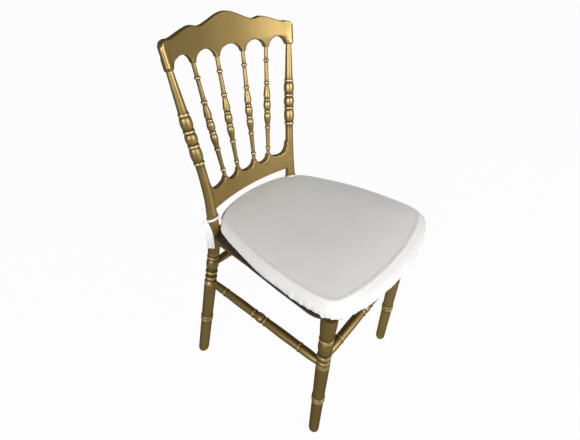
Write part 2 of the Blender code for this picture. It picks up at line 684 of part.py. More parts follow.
def bar(name, path, finish):
    """A seat rail: rectangle swept along a path in plan, square to it."""
    half = SEAT_RAIL_WIDTH / 2
    low = SEAT_RAIL_TOP_Z - SEAT_RAIL_HEIGHT
    rings = []
    for i, point in enumerate(path):
        along = (path[min(i + 1, len(path) - 1)] - path[max(i - 1, 0)]).normalized()
        across = Vector((along.y, -along.x, 0)) * half
        a = point + across
        b = point - across
        rings.append([
            Vector((a.x, a.y, low)), Vector((b.x, b.y, low)),
            Vector((b.x, b.y, SEAT_RAIL_TOP_Z)), Vector((a.x, a.y, SEAT_RAIL_TOP_Z)),
        ])
    return add_object(name, loft(rings), finish)


def bowed_line(corner, bow):
    """Centre line of a bowed cross rail, told by x."""
    return lambda x: Vector((x, corner.y + bow * (1 - (x / corner.x) ** 2), RAIL_MIDDLE_Z))


FRONT_LINE = bowed_line(LEG_CORNER, -FRONT_RAIL_BOW)
REAR_LINE = bowed_line(POST_CORNER, REAR_RAIL_BOW)


def side_line(side):
    """Centre line of a side rail, from front leg to post."""
    return mirrored(LEG_CORNER, side), mirrored(POST_CORNER, side)


def seat_tenon(rail, piece, root, corner, stop):
    """Round tenon from a rail's end into the leg or post at that corner, with its mortise."""
    along = (corner - root).normalized()
    tip = corner - along * (stop - TENON_DEPTH)
    number = len(rail.modifiers)
    join(rail, rod(f"tenon_{rail.name}_{number}", root, tip, SEAT_RAIL_TENON_RADIUS, GOLD))
    mortise(piece, tip, along, SEAT_RAIL_TENON_RADIUS, 0)


def make_side_rails(posts, legs):
    """Left and right seat rails."""
    for side, word in SIDES:
        front, rear = side_line(side)
        along = (rear - front).normalized()
        front_stop = seat_radius(LEG_PROFILE) + SHOULDER_ROOM
        rear_stop = seat_radius(POST_PROFILE) + SHOULDER_ROOM + LEAN_ROOM
        path = [front + along * front_stop, rear - along * rear_stop]
        rail = bar(f"seat_rail_{word}", path, GOLD)
        seat_tenon(rail, legs[side], path[0] + along * TENON_DEPTH, front, front_stop)
        seat_tenon(rail, posts[side], path[1] - along * TENON_DEPTH, rear, rear_stop)


def make_cross_rail(name, line, corner, pieces, profile):
    """A bowed seat rail between two legs or two posts."""
    stop = seat_radius(profile) + SHOULDER_ROOM + LEAN_ROOM
    reach = corner.x - stop
    path = [line(reach * i / 6) for i in range(-6, 7)]
    rail = bar(name, path, GOLD)
    for side, _ in SIDES:
        root = path[1] if side < 0 else path[-2]
        seat_tenon(rail, pieces[side], root, mirrored(corner, side), stop)
    return rail


def make_panel():
    """Seat panel: thin board on the rails, notched round the posts."""
    bottom = SEAT_RAIL_TOP_Z + GAP
    top = bottom + PANEL_THICKNESS
    front_y = FRONT_LINE(0).y - PANEL_FRONT_OVERHANG
    rear_y = REAR_LINE(0).y + PANEL_REAR_OVERHANG
    corner = Vector((PANEL_HALF_WIDTH - PANEL_CORNER_RADIUS, PANEL_SIDE_Y))
    post = post_centre(top)
    half = []
    for share in (0.0, 0.25, 0.5, 0.75):
        fall = (corner.y - PANEL_CORNER_RADIUS - front_y) * share ** 2
        half.append(Vector((corner.x * share, front_y + fall)))
    for i in range(7):
        turn = math.pi / 2 * i / 6
        half.append(corner + PANEL_CORNER_RADIUS * Vector((math.sin(turn), -math.cos(turn))))
    side_start = half[-1]
    side_end = Vector((post.x + PANEL_POST_LAP, post.y))
    for share in (0.25, 0.5, 0.75, 1.0):
        bow = PANEL_SIDE_BOW * 4 * share * (1 - share)
        half.append(side_start.lerp(side_end, share) + Vector((bow, 0)))
    for share in (0.75, 0.5, 0.25, 0.0):
        half.append(Vector((post.x * share, rear_y - (rear_y - post.y) * share ** 2)))
    outline = half + [Vector((-p.x, p.y)) for p in half[-2:0:-1]]
    rings = [[Vector((p.x, p.y, z)) for p in outline] for z in (bottom, top)]
    panel = add_object("seat_panel", loft(rings), PLY)
    for side, word in SIDES:
        radius = widest(POST_PROFILE, bottom, top) + 2 * GAP
        low = post_point(side, bottom - PANEL_THICKNESS)
        high = post_point(side, top + PANEL_THICKNESS)
        cut(panel, rod(f"notch_{word}", low, high, radius, PLY, NOTCH_SIDES))
    return panel


def rail_face(line_point, along, inward):
    """A point on a rail's inner face, just clear of it."""
    across = Vector((-along.y, along.x, 0)).normalized()
    if across.dot(inward) < 0:
        across.negate()
    return line_point + across * (SEAT_RAIL_WIDTH / 2 + GAP)


def block_outline(corner, side_end, line):
    """Plan of a corner block: along the side rail, then back along the cross rail."""
    side = -1 if corner.x < 0 else 1
    inward = Vector((-corner.x, -corner.y, 0)).normalized()
    along = (side_end - corner).normalized()
    points = [rail_face(corner + along * place, along, inward) for place in (BLOCK_NEAR, BLOCK_FAR)]
    for place in (BLOCK_FAR, BLOCK_NEAR):
        x = corner.x - side * place
        points.append(rail_face(line(x), line(x + GAP) - line(x - GAP), inward))
    return points


def make_corner(word, corner, side_end, line, profile, piece, panel):
    """Corner block in the angle of two rails, its bolt into the leg, and its panel screw."""
    points = block_outline(corner, side_end, line)
    bottom = SEAT_RAIL_TOP_Z - BLOCK_HEIGHT
    rings = [[Vector((p.x, p.y, z)) for p in points] for z in (bottom, SEAT_RAIL_TOP_Z)]
    block = add_object(f"corner_block_{word}", loft(rings), WOOD)
    start = (points[1] + points[2]) / 2
    start.z = bottom + BLOCK_HEIGHT / 2
    target = Vector((corner.x, corner.y, start.z))
    aim = (target - start).normalized()
    long_face = (points[2] - points[1]).normalized()
    shank = (target - start).length - seat_radius(profile) + BOLT_GRIP_IN_LEG
    seat = -(BOLT_HEAD_RADIUS * abs(aim.dot(long_face)) + GAP)
    bolt = [(seat - BOLT_HEAD_HEIGHT, BOLT_HEAD_RADIUS), (seat, BOLT_HEAD_RADIUS)]
    bolt += [(seat + STEP / 2, BOLT_RADIUS), (shank, BOLT_RADIUS)]
    turned(f"corner_bolt_{word}", straight(start, target), bolt, FASTENER_SIDES, STEEL)
    bore(block, start - aim * BLOCK_HEIGHT, target, BOLT_RADIUS)
    mortise(piece, start + aim * shank, aim, BOLT_RADIUS, 0)
    spot = (points[0] + points[1] + points[2] + points[3]) / 4
    spot += (points[1] - points[0]).normalized() * SCREW_OFFSET
    under = Vector((spot.x, spot.y, bottom - GAP))
    tip = SEAT_RAIL_TOP_Z + GAP + SCREW_GRIP_IN_PANEL - under.z
    screw = [(-SCREW_HEAD_HEIGHT, SCREW_HEAD_RADIUS), (0, SCREW_HEAD_RADIUS)]
    screw += [(STEP / 2, SCREW_RADIUS), (tip, SCREW_RADIUS)]
    rise = Vector((0, 0, 1))
    turned(f"panel_screw_{word}", lambda z: under + rise * z, screw, FASTENER_SIDES, STEEL)
    bore(block, under - rise * BLOCK_HEIGHT, under + rise * 2 * BLOCK_HEIGHT, SCREW_RADIUS)
    mortise(panel, under + rise * tip, rise, SCREW_RADIUS, 0)


def make_corners(posts, legs, panel):
    for side, word in SIDES:
        front, rear = side_line(side)
        make_corner(f"front_{word}", front, rear, FRONT_LINE, LEG_PROFILE, legs[side], panel)
        make_corner(f"rear_{word}", rear, front, REAR_LINE, POST_PROFILE, posts[side], panel)


# Cushion

def smooth_loop(points, steps):
    """A closed smooth line through points."""
    loop = []
    count = len(points)
    for i in range(count):
        before, start, end, after = (points[(i + k) % count] for k in (-1, 0, 1, 2))
        for k in range(steps):
            loop.append(hermite(start, (end - before) / 2, end, (after - start) / 2, 1.0, k / steps))
    return loop


def inset(loop, distance):
    """A loop drawn in square to itself."""
    moved = []
    count = len(loop)
    for i in range(count):
        along = (loop[(i + 1) % count] - loop[i - 1]).normalized()
        moved.append(loop[i] + Vector((-along.y, along.x)) * distance)
    return moved


CUSHION_BOTTOM_Z = SEAT_RAIL_TOP_Z + PANEL_THICKNESS + 2 * GAP
CUSHION_EDGE = smooth_loop(
    [Vector(p) for p in CUSHION_OUTLINE]
    + [Vector((-x, y)) for x, y in CUSHION_OUTLINE[-2:0:-1]], 4)
CUSHION_MIDDLE = Vector((0, (CUSHION_OUTLINE[0][1] + CUSHION_OUTLINE[-1][1]) / 2))


def clear_of_posts(point):
    """Where a post is in the way, the cushion's edge gives way towards its middle."""
    for side, _ in SIDES:
        post = post_point(side, point.z)
        room = widest(POST_PROFILE, point.z - 0.005, point.z + 0.005) + CUSHION_POST_ROOM
        away = Vector((point.x - post.x, point.y - post.y, 0))
        if away.length < room:
            inward = Vector((CUSHION_SHIFT - point.x, CUSHION_MIDDLE.y - point.y, 0)).normalized()
            along = away.dot(inward)
            point += inward * (math.sqrt(along ** 2 + room ** 2 - away.length_squared) - along)
    return point


def cushion_ring(rise, draw, roll):
    """Outline of the cushion at a rise above its base: drawn in alike, or rolled over."""
    reach = -CUSHION_OUTLINE[0][1]
    rear = CUSHION_OUTLINE[-1][1]
    ring = []
    for edge, inner in zip(CUSHION_EDGE, inset(CUSHION_EDGE, 1.0)):
        front = 0.5 + 0.5 * max(0.0, -edge.y / reach) ** 4
        place = edge + (inner - edge) * (draw + roll * front)
        shift = CUSHION_SHIFT + (CUSHION_REAR_SHIFT - CUSHION_SHIFT) * max(0.0, edge.y / rear) ** 2
        point = Vector((place.x + shift, place.y, CUSHION_BOTTOM_Z + rise))
        ring.append(clear_of_posts(point))
    return ring


def make_cushion():
    """Seat cushion: crowned top that rolls over to sides drawn in below."""
    thick = CUSHION_THICKNESS
    rings = [
        cushion_ring(0.0, CUSHION_DRAW_IN, 0),
        cushion_ring(0.10 * thick, 0.45 * CUSHION_DRAW_IN, 0),
        cushion_ring(0.36 * thick, 0, 0),
        cushion_ring(0.64 * thick, 0, 0.04 * CUSHION_ROUND),
        cushion_ring(0.86 * thick, 0, 0.34 * CUSHION_ROUND),
        cushion_ring(thick, 0, CUSHION_ROUND),
    ]
    edge = rings[-1]
    top = Vector((CUSHION_SHIFT, CUSHION_MIDDLE.y, CUSHION_BOTTOM_Z + thick))
    for share, rise in ((0.84, 0.40), (0.60, 0.78), (0.30, 0.96)):
        ring = [top + (p - top) * share for p in edge]
        rings.append([p + Vector((0, 0, CUSHION_CROWN * rise)) for p in ring])
    return add_object("seat_cushion", loft(rings), CLOTH), rings[4]


# Cushion ties

def ribbon(name, path, widths, faces):
    """A flat strip along a path, with a width and a facing direction at each point."""
    rings = []
    for i, point in enumerate(path):
        along = (path[min(i + 1, len(path) - 1)] - path[max(i - 1, 0)]).normalized()
        across = along.cross(faces[i]).normalized() * widths[i] / 2
        out = across.cross(along).normalized() * TIE_BAND_THICKNESS / 2
        rings.append([
            point + across + out, point - across + out, point - across - out, point + across - out,
        ])
    return add_object(name, loft(rings), CLOTH)


def tie_band(name, centre, along, inner):
    """Closed flat ring of ribbon round a post."""
    outer = inner + TIE_BAND_THICKNESS
    half = TIE_BAND_WIDTH / 2
    across = Vector((0, 1, 0)).cross(along).normalized()
    up = along.cross(across)
    shape = bmesh.new()
    loops = []
    steps = 20
    for i in range(steps):
        a = 2 * math.pi * i / steps
        way = math.cos(a) * across + math.sin(a) * up
        corners = ((inner, -half), (outer, -half), (outer, half), (inner, half))
        loops.append([shape.verts.new(centre + way * r + along * h) for r, h in corners])
    for i in range(steps):
        one = loops[i]
        two = loops[(i + 1) % steps]
        for k in range(4):
            m = (k + 1) % 4
            shape.faces.new((one[k], one[m], two[m], two[k]))
    return add_object(name, shape, CLOTH)


def around_post(side, z, turn, distance):
    """A point beside a post, by its turn from straight out to the side towards the rear."""
    way = Vector((side * math.cos(turn), math.sin(turn), 0))
    return post_point(side, z) + way * distance, way


TIE_Z = CUSHION_BOTTOM_Z + TIE_RISE


def make_tie(side, word, cushion_line):
    """Ribbon from the cushion round a post, knotted at its side, with a long tail and a short end."""
    centre = post_point(side, TIE_Z)
    along = (post_point(side, TIE_Z + 0.002) - post_point(side, TIE_Z - 0.002)).normalized()
    inner = widest(POST_PROFILE, TIE_Z - TIE_BAND_WIDTH, TIE_Z + TIE_BAND_WIDTH) + 2 * GAP
    outer = inner + TIE_BAND_THICKNESS
    tie = tie_band(f"cushion_tie_{word}", centre, along, inner)
    radius = TIE_KNOT_RADIUS
    knot_at, _ = around_post(side, TIE_Z, TIE_KNOT_TURN, outer + 0.8 * radius)
    steps = [(t, math.sqrt(1.08 - t * t)) for t in (-1.0, -0.6, 0.0, 0.6, 1.0)]
    knot = [(radius * t, radius * wide) for t, wide in steps]
    join(tie, turned(f"knot_{word}", lambda t: knot_at + Vector((0, 0, t)), knot, 8, CLOTH))
    path, faces = [knot_at], [(knot_at - centre).normalized()]
    widths = [0.4 * TIE_TAIL_WIDTH]
    for t in (0.2, 0.4, 0.6, 0.8, 1.0):
        turn = TIE_KNOT_TURN + (TIE_TAIL_TURN - TIE_KNOT_TURN) * t
        z = TIE_Z - TIE_TAIL_LENGTH * t
        distance = widest(POST_PROFILE, z - 0.02, TIE_Z) + TIE_TAIL_ROOM
        point, way = around_post(side, z, turn, distance)
        path.append(point)
        faces.append(way)
        widths.append(TIE_TAIL_WIDTH * min(1.0, 0.55 + t))
    join(tie, ribbon(f"tail_{word}", path, widths, faces))
    rise = Vector((side * 0.16, 0.12, 1)).normalized() * TIE_END_LENGTH
    path = [knot_at, knot_at + rise * 0.5, knot_at + rise]
    join(tie, ribbon(f"end_{word}", path, [TIE_END_WIDTH] * 3, [faces[0]] * 3))
    near = min(cushion_line, key=lambda p: (p - centre).length)
    reach = Vector((near.x - centre.x, near.y - centre.y, 0))
    way = reach.normalized()
    start = centre + way * (inner + outer) / 2 + Vector((0, 0, (near.z - centre.z) / 2))
    path = [start, start + way * (reach.length - (inner + outer) / 2 - TIE_LEAD_ROOM)]
    faces = [Vector((0, 0, 1)).cross(way)] * 2
    join(tie, ribbon(f"lead_{word}", path, [0.8 * TIE_BAND_WIDTH] * 2, faces))
    return tie


posts = {side: make_post(side, word) for side, word in SIDES}
legs = {side: make_leg(side, word) for side, word in SIDES}
for side, word in SIDES:
    make_glide(f"foot_glide_rear_{word}", posts[side], post_point(side, 0.002))
    make_glide(f"foot_glide_front_{word}", legs[side], leg_point(side, 0.002))
crest = make_crest()
lower_rail = make_lower_rail(posts)
make_spindles(crest, lower_rail)
make_stretchers(posts, legs)
make_side_rails(posts, legs)
make_cross_rail("seat_rail_front", FRONT_LINE, LEG_CORNER, legs, LEG_PROFILE)
make_cross_rail("seat_rail_rear", REAR_LINE, POST_CORNER, posts, POST_PROFILE)
panel = make_panel()
make_corners(posts, legs, panel)
cushion, cushion_line = make_cushion()
for side, word in SIDES:
    make_tie(side, word, cushion_line)
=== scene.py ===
import math

import bmesh
import bpy
from mathutils import Matrix, Quaternion, Vector, kdtree, noise


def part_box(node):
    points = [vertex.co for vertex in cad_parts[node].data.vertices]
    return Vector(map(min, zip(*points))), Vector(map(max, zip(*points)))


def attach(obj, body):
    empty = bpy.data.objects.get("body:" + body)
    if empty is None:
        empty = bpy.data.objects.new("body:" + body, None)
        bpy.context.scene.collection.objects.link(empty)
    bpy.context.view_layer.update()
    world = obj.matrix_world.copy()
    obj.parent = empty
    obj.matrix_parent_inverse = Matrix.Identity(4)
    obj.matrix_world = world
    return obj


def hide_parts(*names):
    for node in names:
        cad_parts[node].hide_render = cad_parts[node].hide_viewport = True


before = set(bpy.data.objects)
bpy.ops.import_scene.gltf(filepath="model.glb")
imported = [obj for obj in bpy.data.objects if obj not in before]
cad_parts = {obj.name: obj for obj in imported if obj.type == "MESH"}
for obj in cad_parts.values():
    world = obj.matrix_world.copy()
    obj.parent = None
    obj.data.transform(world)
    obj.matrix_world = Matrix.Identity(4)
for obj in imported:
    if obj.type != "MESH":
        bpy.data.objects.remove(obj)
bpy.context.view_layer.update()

# Camera
# The chair is seen from above its front left corner, from a standing person's eye height and
# close by, so that the legs run together downwards. The lens is a wide one.
picture = (580, 440)
film = 36.0
lens_pixels = 357.48
axis_pixel = (266.73, 188.64)
right_hand = Vector((0.67147, -0.74088, -0.01506))
overhead = Vector((0.39588, 0.34146, 0.85246))
view_line = Vector((0.62643, 0.57836, -0.52258))
camera = bpy.data.objects.new("camera", bpy.data.cameras.new("camera"))
camera.data.sensor_width = film
camera.data.lens = film * lens_pixels / picture[0]
camera.data.shift_x = (picture[0] / 2 - axis_pixel[0]) / picture[0]
camera.data.shift_y = (axis_pixel[1] - picture[1] / 2) / picture[0]
camera.matrix_world = Matrix.LocRotScale(
    Vector((-0.5810, -0.4105, 0.9896)), Matrix((right_hand, overhead, -view_line)).transposed(), None)
bpy.context.collection.objects.link(camera)
bpy.context.scene.camera = camera

# Back posts
# Each rear leg and back upright is one turned hardwood stick, bent at the seat: rings on the leg,
# a plain seat part, bulbs and rings in the back, and a taper into the crest's socket. Sprayed gold.
SEAT_TOP = 0.4230
POST_FOOT = Vector((0.2165, 0.2010, 0.0))
POST_KNEE = Vector((0.1600, 0.1710, 0.3600))
POST_NECK = Vector((0.1592, 0.1836, 0.6237))
POST_HEAD = Vector((0.1826, 0.2092, 0.8240))
LEG_SLOPE = (POST_KNEE - POST_FOOT) / POST_KNEE.z
BACK_SLOPE = (POST_HEAD - POST_NECK) / (POST_HEAD.z - POST_NECK.z)
GLIDE_TOP = 0.0043
SHIN = 0.0165
BACK = 0.0105


class Shade:
    """A value in a material's nodes. Sums and products of values add their Math nodes."""

    def __init__(self, tree, socket=None):
        self.tree = tree
        self.socket = socket

    def node(self, kind, settings, sockets, output=0):
        """Adds a node by its type, its settings, and the values or links of its sockets."""
        made = self.tree.nodes.new("ShaderNode" + kind)
        for name, value in settings.items():
            setattr(made, name, value)
        for key, value in sockets.items():
            if isinstance(value, Shade):
                self.tree.links.new(value.socket, made.inputs[key])
            else:
                made.inputs[key].default_value = value
        return Shade(self.tree, made.outputs[output])

    def maths(self, operation, one, two):
        return self.node("Math", {"operation": operation}, {0: one, 1: two})

    def __add__(self, other):
        return self.maths("ADD", self, other)

    def __radd__(self, other):
        return self.maths("ADD", other, self)

    def __sub__(self, other):
        return self.maths("SUBTRACT", self, other)

    def __rsub__(self, other):
        return self.maths("SUBTRACT", other, self)

    def __mul__(self, other):
        return self.maths("MULTIPLY", self, other)

    def between(self, low, high):
        """0 below low, 1 above high, and smooth between them."""
        settings = {"interpolation_type": "SMOOTHSTEP"}
        return self.node("MapRange", settings, {0: self, 1: low, 2: high, 3: 0.0, 4: 1.0})

    def colours(self, one, two):
        """Colour from one to two, as this value goes from 0 to 1."""
        colours = {6: one if isinstance(one, Shade) else (*one, 1), 7: (*two, 1)}
        return self.node("Mix", {"data_type": "RGBA"}, {0: self, **colours}, 2)

    def cloud(self, scale, detail=3.0):
        """Soft noise over the surface, about 0.5 in the mean."""
        return self.node("TexNoise", {}, {"Vector": self, "Scale": scale, "Detail": detail})


def new_finish(name):
    """A material, its shader, and the object's own coordinates to draw it with."""
    finish = bpy.data.materials.new(name)
    finish.use_nodes = True
    shader = finish.node_tree.nodes["Principled BSDF"]
    return finish, shader, Shade(finish.node_tree).node("TexCoord", {}, {}, "Object")


def feed(shader, **values):
    """Links values to a shader's sockets, which are named with _ for a space."""
    for name, value in values.items():
        value.tree.links.new(value.socket, shader.inputs[name.replace("_", " ")])


gold_paint, gold, place = new_finish("gold_paint")
gold.inputs["Specular Tint"].default_value = (0.16, 0.11, 0.06, 1)
groove = place.node("Attribute", {"attribute_name": "groove"}, {}, "Fac")
crest = place.node("Attribute", {"attribute_name": "crest"}, {}, "Fac")
patches = place.cloud(16.0)
speckle = place.cloud(900.0, 1.0)
brushed = patches.between(0.36, 0.66).colours((0.430, 0.305, 0.115), (0.370, 0.255, 0.090))
flaked = speckle.between(0.45, 0.75).colours(brushed, (0.450, 0.325, 0.130))
# Painted shade: the turned grooves and hollows are darkened towards a near black brown.
painted_groove_shade = (groove * 0.80).colours(flaked, (0.060, 0.036, 0.011))
# Painted highlight: the crests of the rings are lightened to a pale gold, and below they are made less
# metallic, so that they shine as bright lines.
painted_ring_highlight = (crest * 0.70).colours(painted_groove_shade, (0.720, 0.570, 0.320))
orange_peel = place.cloud(300.0, 1.0)
feed(gold, Base_Color=painted_ring_highlight, Metallic=0.93 - crest * 0.40,
     Roughness=0.36 + patches * 0.12 + groove * 0.20 - crest * 0.10,
     Normal=place.node("Bump", {}, {"Strength": 0.005, "Distance": 0.0003, "Height": orange_peel}))


def ring(middle, half, crest, neck, steps=10):
    """Half-round ring of a turned stick, as (height, radius) steps."""
    turns = [math.pi * i / steps for i in range(steps + 1)]
    return [(middle - half * math.cos(a), neck + (crest - neck) * math.sin(a)) for a in turns]


def turned(profile, sides=48, longest=0.010):
    """A stick turned about Z to (height, radius) steps, with its grooves and ring crests marked."""
    stick = bmesh.new()
    line = [stick.verts.new((radius, 0, height)) for height, radius in profile]
    for edge in [stick.edges.new(pair) for pair in zip(line, line[1:])]:
        cuts = int(edge.calc_length() / longest)
        if cuts:
            bmesh.ops.subdivide_edges(stick, edges=[edge], cuts=cuts)
    bmesh.ops.spin(stick, geom=stick.verts[:] + stick.edges[:], cent=(0, 0, 0), axis=(0, 0, 1),
                   angle=math.tau, steps=sides, use_merge=True)
    bmesh.ops.remove_doubles(stick, verts=stick.verts, dist=1e-6)
    bmesh.ops.recalc_face_normals(stick, faces=stick.faces)
    groove_mark = stick.verts.layers.float.new("groove")
    crest_mark = stick.verts.layers.float.new("crest")
    for vert in stick.verts:
        here = math.hypot(vert.co.x, vert.co.y)
        near = [r for height, r in profile if abs(height - vert.co.z) < 0.006 and r > 0.003] or [here]
        vert[groove_mark] = min(1.0, max(0.0, (max(near) - here) / 0.0035))
        standing = min(1.0, max(0.0, here - min(near) - 0.0004) / 0.0016)
        vert[crest_mark] = standing * max(0.0, 1 - (max(near) - here) / 0.0005)
    return stick


def lean_along(stick, line, level_foot):
    """Sets a turned stick on a centre line, square to it but level at its foot."""
    for vert in stick.verts:
        z = vert.co.z
        along = line(z + 0.001) - line(z - 0.001)
        lean = Vector((0, 0, 1)).rotation_difference(along)
        share = min(1.0, max(0.0, (z - level_foot) / 0.030))
        way = Quaternion().slerp(lean, share) @ Vector((vert.co.x, vert.co.y, 0))
        vert.co = line(z) + way


def add_piece(name, shape, finish, slot, *nodes):
    """Makes a shape a piece of the chair, in place of the solids that it stands for."""
    mesh = bpy.data.meshes.new(name)
    shape.to_mesh(mesh)
    shape.free()
    mesh.materials.append(finish)
    mesh.shade_smooth()
    mesh.set_sharp_from_angle(angle=math.radians(48))
    piece = bpy.data.objects.new(name, mesh)
    bpy.context.collection.objects.link(piece)
    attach(piece, "root")
    if nodes:
        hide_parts(*nodes)
    return piece


def eased(start, start_slope, end, end_slope, span, t):
    """Smooth way between two values with given slopes."""
    blend = t * t * (3 - 2 * t)
    return (start * (1 - blend) + end * blend
            + start_slope * span * t * (1 - t) ** 2 - end_slope * span * t * t * (1 - t))


def post_line(z, side=1):
    """Centre of a post at a height: straight leg, bend at the seat, straight back."""
    if z <= POST_KNEE.z:
        centre = POST_FOOT + LEG_SLOPE * z
    elif z >= POST_NECK.z:
        centre = POST_NECK + BACK_SLOPE * (z - POST_NECK.z)
    else:
        span = POST_NECK.z - POST_KNEE.z
        centre = eased(POST_KNEE, LEG_SLOPE, POST_NECK, BACK_SLOPE, span, (z - POST_KNEE.z) / span)
    return Vector((side * centre.x, centre.y, centre.z))


knee, neck, head = POST_KNEE.z, POST_NECK.z, POST_HEAD.z
post_profile = [
    (GLIDE_TOP, 0), (GLIDE_TOP, 0.0112), (GLIDE_TOP + 0.0010, 0.0130), (GLIDE_TOP + 0.0035, 0.0144),
    (GLIDE_TOP + 0.0080, 0.0150), *ring(knee - 0.2255, 0.0040, SHIN + 0.0008, SHIN - 0.0008),
    *ring(knee - 0.2155, 0.0040, SHIN + 0.0008, SHIN - 0.0008), (knee - 0.0870, SHIN + 0.0002),
    (knee - 0.0846, SHIN - 0.0004), (knee - 0.0830, SHIN - 0.0018), (knee - 0.0800, SHIN - 0.0028),
    *ring(knee - 0.0714, 0.0045, SHIN - 0.0003, SHIN - 0.0032),
    *ring(knee - 0.0531, 0.0050, SHIN - 0.0003, SHIN - 0.0032),
    *ring(knee - 0.0275, 0.0160, SHIN - 0.0001, SHIN - 0.0040, 16),
    *ring(knee - 0.0048, 0.0045, SHIN - 0.0005, SHIN - 0.0030), (knee + 0.0010, SHIN - 0.0022),
    (knee + 0.0060, SHIN - 0.0013), (SEAT_TOP - 0.0200, 0.0160), (SEAT_TOP, 0.0160),
    (SEAT_TOP + 0.0450, BACK + 0.0035), (SEAT_TOP + 0.1000, BACK + 0.0012), (neck - 0.0080, BACK),
    *ring(neck, 0.0042, BACK + 0.0026, BACK), *ring(neck + 0.0212, 0.0160, BACK + 0.0034, BACK, 16),
    *ring(neck + 0.0415, 0.0045, BACK + 0.0030, BACK),
    *ring(neck + 0.0582, 0.0118, BACK + 0.0034, BACK, 14),
    *ring(neck + 0.0749, 0.0042, BACK + 0.0028, BACK),
    *ring(neck + 0.0934, 0.0138, BACK + 0.0031, BACK, 14),
    *ring(neck + 0.1121, 0.0042, BACK + 0.0019, BACK), (neck + 0.1220, BACK - 0.0003),
    (head - 0.0002, 0.0073), (head + 0.0060, 0.0071), (head + 0.0060, 0),
]
for side, hand in ((-1, "left"), (1, "right")):
    post = turned(post_profile)
    lean_along(post, lambda z: post_line(z, side), GLIDE_TOP)
    add_piece(f"post_{hand}", post, gold_paint, "gold_paint", f"back_post_{hand}")

# Front legs
# Plain turned legs of the same wood and paint, a little inclined: a pair of rings low on the shin,
# then a collar, two rings, a long bulb and a ring below the seat rails.
LEG_FOOT = Vector((0.1762, -0.1826, 0.0))
LEG_TOP = Vector((0.1700, -0.1890, SEAT_TOP))
SHANK = 0.0152
TOE = 0.0126
LOW_RING = SEAT_TOP - 0.2772
low_wide = TOE + (SHANK - TOE) * LOW_RING / (SEAT_TOP - 0.145)


def leg_line(z, side=1):
    """Centre of a front leg at a height."""
    centre = LEG_FOOT.lerp(LEG_TOP, z / SEAT_TOP)
    return Vector((side * centre.x, centre.y, centre.z))


leg_profile = [
    (GLIDE_TOP, 0), (GLIDE_TOP, 0.0096), (GLIDE_TOP + 0.0010, 0.0110), (GLIDE_TOP + 0.0035, 0.0121),
    (GLIDE_TOP + 0.0080, TOE),
    *ring(LOW_RING - 0.0050, 0.0040, low_wide + 0.0014, low_wide - 0.0003),
    *ring(LOW_RING + 0.0050, 0.0040, low_wide + 0.0014, low_wide - 0.0003),
    (SEAT_TOP - 0.1470, SHANK), (SEAT_TOP - 0.1448, SHANK - 0.0004),
    (SEAT_TOP - 0.1432, SHANK - 0.0015), (SEAT_TOP - 0.1400, SHANK - 0.0025),
    *ring(SEAT_TOP - 0.1336, 0.0045, SHANK - 0.0002, SHANK - 0.0030),
    *ring(SEAT_TOP - 0.1177, 0.0050, SHANK, SHANK - 0.0030),
    *ring(SEAT_TOP - 0.0890, 0.0180, SHANK + 0.0005, SHANK - 0.0032, 16),
    *ring(SEAT_TOP - 0.0653, 0.0045, SHANK + 0.0005, SHANK - 0.0018),
    (SEAT_TOP - 0.0570, SHANK - 0.0004), (SEAT_TOP - 0.0200, 0.0170), (SEAT_TOP, 0.0170),
    (SEAT_TOP, 0),
]
for side, hand in ((-1, "left"), (1, "right")):
    leg = turned(leg_profile)
    lean_along(leg, lambda z: leg_line(z, side), GLIDE_TOP)
    add_piece(f"leg_{hand}", leg, gold_paint, "gold_paint", f"front_leg_{hand}")

# Stretchers
# Four slim turned rods between the legs, with single rings near their ends and a small bulb between
# two rings in the middle. They are pressed and glued into bored holes and painted with the legs.
ROD = 0.0110
SIDE_ROD, FRONT_ROD, REAR_ROD = 0.2715, 0.2960, 0.3300
IN_LEG, IN_POST, IN_REAR = 0.0148, 0.0163, 0.0160


def rod_profile(near, far):
    """Turned profile of a stretcher whose shoulders stand at near and far along it."""
    middle = (near + far) / 2
    span = far - near
    half = [(near - 0.006, 0), (near - 0.006, 0.0086), (near, 0.0090), (near + 0.05 * span, 0.0101)]
    half += [(near + 0.10 * span, ROD - 0.0005)]
    half += ring(middle - 0.36 * span, 0.0020, ROD + 0.0007, ROD - 0.0008)
    half += [(middle - 0.20 * span, ROD)]
    half += ring(middle - 0.055 * span, 0.0020, ROD + 0.0007, ROD - 0.0008)
    bulb = ring(middle, 0.0100, ROD + 0.0008, ROD - 0.0014, 12)
    return half + bulb + [(2 * middle - place, radius) for place, radius in reversed(half)]


def lay_between(stick, start, end):
    """Lays a straight turned stick from one point towards another."""
    turn = Vector((0, 0, 1)).rotation_difference(end - start).to_matrix().to_4x4()
    bmesh.ops.transform(stick, matrix=Matrix.Translation(start) @ turn, verts=stick.verts)


for name, start, end, near, far in (
    ("left", leg_line(SIDE_ROD, -1), post_line(SIDE_ROD, -1), IN_LEG, IN_POST),
    ("right", leg_line(SIDE_ROD), post_line(SIDE_ROD), IN_LEG, IN_POST),
    ("front", leg_line(FRONT_ROD, -1), leg_line(FRONT_ROD), IN_LEG, IN_LEG),
    ("rear", post_line(REAR_ROD, -1), post_line(REAR_ROD), IN_REAR, IN_REAR),
):
    rod = turned(rod_profile(near, (end - start).length - far), 40)
    lay_between(rod, start, end)
    add_piece(f"rod_{name}", rod, gold_paint, "gold_paint", f"stretcher_{name}")

# Seat frame
# Four wooden rails join the legs under the seat, with a glued block across each corner and a bolt
# through it into the leg. The rails wear the gold paint, and the blocks inside were left bare.


def soften(node, finish, width):
    """Gives a solid its finish and breaks its sharp edges."""
    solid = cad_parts[node]
    solid.material_slots[0].material = finish
    weld = solid.modifiers.new("weld", "WELD")
    weld.merge_threshold = 0.00001
    edge = solid.modifiers.new("edge", "BEVEL")
    edge.width = width
    edge.segments = 2
    edge.limit_method = "ANGLE"
    edge.angle_limit = math.radians(40)


